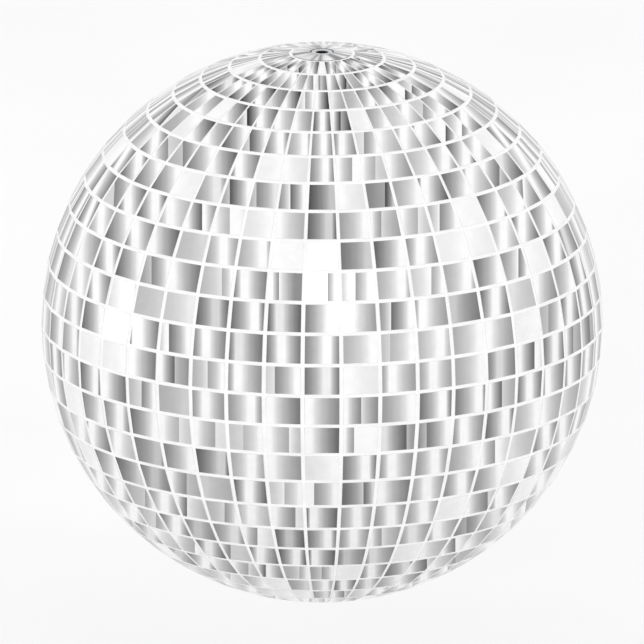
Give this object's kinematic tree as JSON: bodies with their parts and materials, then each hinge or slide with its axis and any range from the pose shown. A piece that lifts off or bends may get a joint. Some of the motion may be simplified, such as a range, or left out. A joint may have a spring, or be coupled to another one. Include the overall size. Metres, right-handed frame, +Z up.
{
  "type": "mirror ball",
  "caption": "Hanging mirror ball: flat mirror glass tiles in white grout over a hollow core, with fluted polar caps, turning on a thrust bearing under a flush threaded socket.",
  "frame": {"origin": "centre of the ball", "axes": "+Z up along the axis that the ball hangs and turns on, out of the hanging socket; -Y through the middle of one column of tiles, which faces the front"},
  "size_m": [0.2998, 0.2997, 0.2999],
  "materials": {
    "mirror_glass": "back-silvered float glass with cut edges",
    "white_grout": "matt white filled adhesive, finger smooth",
    "core_plastic": "moulded, unpainted",
    "turned_aluminium": "turned",
    "zinc_plated_steel": "zinc plated",
    "bearing_brass": "turned",
    "bearing_steel": "ground and polished",
    "black_oxide_steel": "black oxide",
    "polished_cap_metal": "pressed and bright plated"
  },
  "bodies": {
    "hanger": {"swivel_stud": "bearing_steel", "lower_race": "bearing_steel", "retaining_nut": "zinc_plated_steel", "lock_nut": "zinc_plated_steel"},
    "ball": {"upper_mirror_row_01": "mirror_glass", "upper_mirror_row_02": "mirror_glass", "upper_mirror_row_03": "mirror_glass", "upper_mirror_row_04": "mirror_glass", "upper_mirror_row_05": "mirror_glass", "upper_mirror_row_06": "mirror_glass", "upper_mirror_row_07": "mirror_glass", "upper_mirror_row_08": "mirror_glass", "upper_mirror_row_09": "mirror_glass", "upper_mirror_row_10": "mirror_glass", "upper_mirror_row_11": "mirror_glass", "upper_mirror_row_12": "mirror_glass", "upper_mirror_row_13": "mirror_glass", "lower_mirror_row_01": "mirror_glass", "lower_mirror_row_02": "mirror_glass", "lower_mirror_row_03": "mirror_glass", "lower_mirror_row_04": "mirror_glass", "lower_mirror_row_05": "mirror_glass", "lower_mirror_row_06": "mirror_glass", "lower_mirror_row_07": "mirror_glass", "lower_mirror_row_08": "mirror_glass", "lower_mirror_row_09": "mirror_glass", "lower_mirror_row_10": "mirror_glass", "lower_mirror_row_11": "mirror_glass", "lower_mirror_row_12": "mirror_glass", "lower_mirror_row_13": "mirror_glass", "upper_tile_bed": "white_grout", "lower_tile_bed": "white_grout", "upper_core_shell": "core_plastic", "lower_core_shell": "core_plastic", "joint_band": "turned_aluminium", "joint_band_rivets": "turned_aluminium", "top_load_plate": "turned_aluminium", "top_plate_rivets": "turned_aluminium", "swivel_housing": "zinc_plated_steel", "hub_screws": "black_oxide_steel", "guide_bush": "bearing_brass", "upper_race": "bearing_steel", "housing_plug": "zinc_plated_steel", "tie_rod": "zinc_plated_steel", "tie_rod_jam_nut": "zinc_plated_steel", "bottom_load_plate": "turned_aluminium", "bottom_plate_rivets": "turned_aluminium", "bottom_washer": "zinc_plated_steel", "bottom_spring_washer": "zinc_plated_steel", "bottom_nut": "zinc_plated_steel", "top_cap": "polished_cap_metal", "bottom_cap": "polished_cap_metal"},
    "bearing": {"bearing_balls": "bearing_steel", "bearing_cage": "bearing_brass"}
  },
  "joints": [
    {"name": "ball_spin", "type": "hinge", "parent": "hanger", "child": "ball", "pos_m": [0, 0, 0], "axis": [0, 0, 1], "continuous": true},
    {"name": "bearing_roll", "type": "hinge", "parent": "hanger", "child": "bearing", "pos_m": [0, 0, 0.1365], "axis": [0, 0, 1], "continuous": true}
  ],
  "couplings": [
    {"joint": "bearing_roll", "follows": "ball_spin", "ratio": 0.5}
  ]
}
